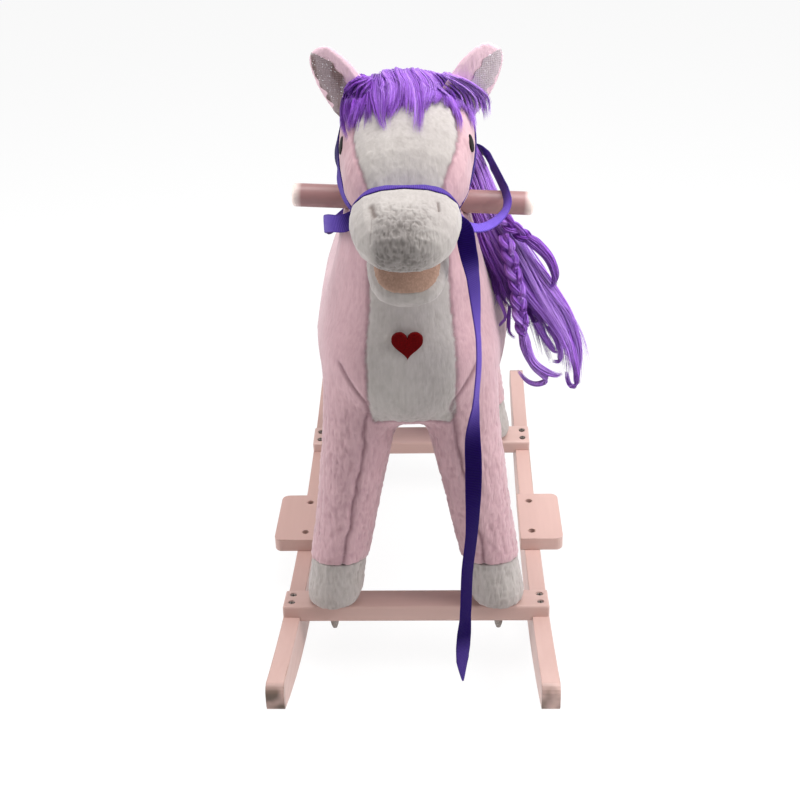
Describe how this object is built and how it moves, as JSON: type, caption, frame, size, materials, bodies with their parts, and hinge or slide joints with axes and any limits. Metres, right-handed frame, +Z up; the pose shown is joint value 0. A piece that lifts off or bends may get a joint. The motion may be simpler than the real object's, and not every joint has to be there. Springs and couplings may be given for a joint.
{
  "type": "rocking horse",
  "caption": "Plush rocking pony on curved wooden rockers, with crossbars, footrests, a handlebar through the neck, bridle and reins, mane, a hinged lower jaw and a swinging tail.",
  "frame": {"origin": "on the floor midway between the rockers, at the middle of their length", "axes": "+Z up, the pony faces -Y, +X is the rider's left, which is the right side of the picture"},
  "size_m": [0.344, 0.6928, 0.684],
  "materials": {
    "painted_wood": "dusty pink satin paint",
    "raw_wood": "unpainted softwood",
    "steel": "zinc plated",
    "pink_plush": "short pile plush, dusty pink",
    "cream_plush": "short pile plush, off-white",
    "mouth_cloth": "smooth tan velour",
    "ear_cloth": "mauve cloth with a fine silver sheen",
    "purple_hair": "glossy synthetic hair",
    "purple_webbing": "woven polyester webbing",
    "red_felt": "dark red felt",
    "black_plastic": "gloss black"
  },
  "bodies": {
    "toy": {"chest_heart": "red_felt", "crossbar_screw_front_left_1": "steel", "crossbar_screw_front_left_2": "steel", "crossbar_screw_front_right_1": "steel", "crossbar_screw_front_right_2": "steel", "crossbar_screw_rear_left_1": "steel", "crossbar_screw_rear_left_2": "steel", "crossbar_screw_rear_right_1": "steel", "crossbar_screw_rear_right_2": "steel", "ear_left": "pink_plush", "ear_lining_left": "ear_cloth", "ear_lining_right": "ear_cloth", "ear_right": "pink_plush", "eye_left": "black_plastic", "eye_right": "black_plastic", "footrest_left": "painted_wood", "footrest_right": "painted_wood", "footrest_screw_left_front": "steel", "footrest_screw_left_rear": "steel", "footrest_screw_right_front": "steel", "footrest_screw_right_rear": "steel", "forelock": "purple_hair", "front_crossbar": "painted_wood", "handlebar": "painted_wood", "head": "pink_plush", "headstall": "purple_webbing", "hoof_front_left": "cream_plush", "hoof_front_right": "cream_plush", "hoof_rear_left": "cream_plush", "hoof_rear_right": "cream_plush", "jaw_pin": "steel", "leg_bolt_front_left": "steel", "leg_bolt_front_right": "steel", "leg_bolt_rear_left": "steel", "leg_bolt_rear_right": "steel", "leg_front_left": "pink_plush", "leg_front_right": "pink_plush", "leg_post_front_left": "raw_wood", "leg_post_front_right": "raw_wood", "leg_post_rear_left": "raw_wood", "leg_post_rear_right": "raw_wood", "leg_rear_left": "pink_plush", "leg_rear_right": "pink_plush", "loose_strap": "purple_webbing", "mane": "purple_hair", "muzzle": "cream_plush", "neck": "pink_plush", "neck_post": "raw_wood", "noseband": "purple_webbing", "rear_crossbar": "painted_wood", "rein_loop": "purple_webbing", "rocker_left": "painted_wood", "rocker_right": "painted_wood", "spine_board": "raw_wood", "torso": "pink_plush"},
    "jaw": {"lower_jaw": "cream_plush", "mouth_lining": "mouth_cloth"},
    "tail": {"tail": "purple_hair"}
  },
  "joints": [
    {"name": "jaw_hinge", "type": "hinge", "parent": "toy", "child": "jaw", "pos_m": [0.004, -0.22311, 0.54744], "axis": [1, 0, 0], "range_deg": [-5, 6], "stiffness_Nm_per_rad": 0.6},
    {"name": "tail_hinge", "type": "hinge", "parent": "toy", "child": "tail", "pos_m": [0, 0.24038, 0.371], "axis": [0, 1, 0], "range_deg": [-25, 25]}
  ]
}
